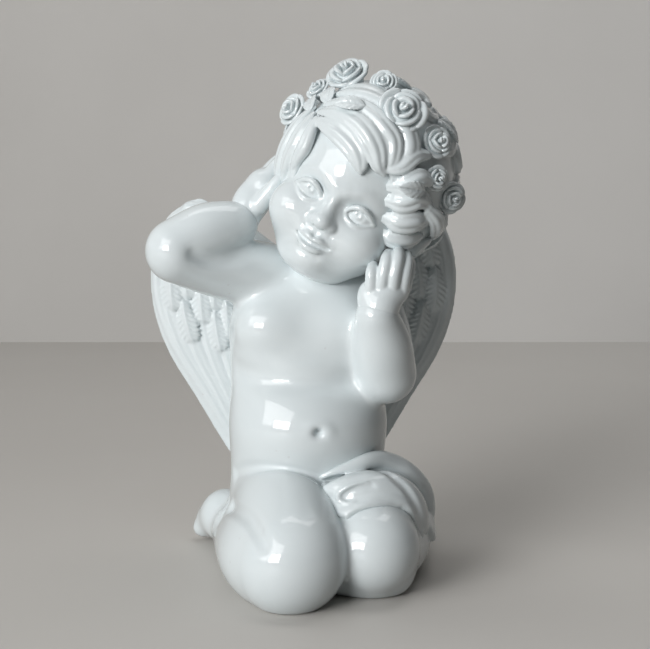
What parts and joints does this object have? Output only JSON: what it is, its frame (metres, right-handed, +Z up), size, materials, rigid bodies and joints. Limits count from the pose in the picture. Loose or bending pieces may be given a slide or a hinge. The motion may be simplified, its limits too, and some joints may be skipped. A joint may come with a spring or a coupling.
{
  "type": "angel figurine",
  "caption": "Kneeling cherub ornament in gloss white resin, one arm raised to a tilted head with a rose wreath, small folded wings and a cloth over the thigh.",
  "frame": {"origin": "centre of the drain plug's underside, on the plane the figurine stands on", "axes": "+Z up, the figure looks along -Y, +X towards the figure's left hand"},
  "size_m": [0.1274, 0.1248, 0.1996],
  "materials": {
    "white_resin": "thick clear gloss over white",
    "plug_plastic": "matte"
  },
  "bodies": {
    "root": {"body_shell": "white_resin", "drain_plug": "plug_plastic", "head": "white_resin", "hair": "white_resin", "right_arm": "white_resin", "right_hand": "white_resin", "left_arm": "white_resin", "left_hand": "white_resin", "right_wing": "white_resin", "left_wing": "white_resin", "drape": "white_resin", "rose_right_temple": "white_resin", "rose_crown_right": "white_resin", "rose_crown_large": "white_resin", "rose_crown_small": "white_resin", "rose_front_large": "white_resin", "rose_left_upper": "white_resin", "rose_left_small": "white_resin", "rose_left_lower": "white_resin", "leaf_right_tip": "white_resin", "leaf_right_inner": "white_resin", "leaf_fringe_right": "white_resin", "leaf_fringe_left": "white_resin", "leaf_crown_back": "white_resin", "leaf_left_upper": "white_resin", "leaf_left_inner": "white_resin", "leaf_left_outer": "white_resin", "leaf_left_tip": "white_resin"}
  },
  "joints": []
}
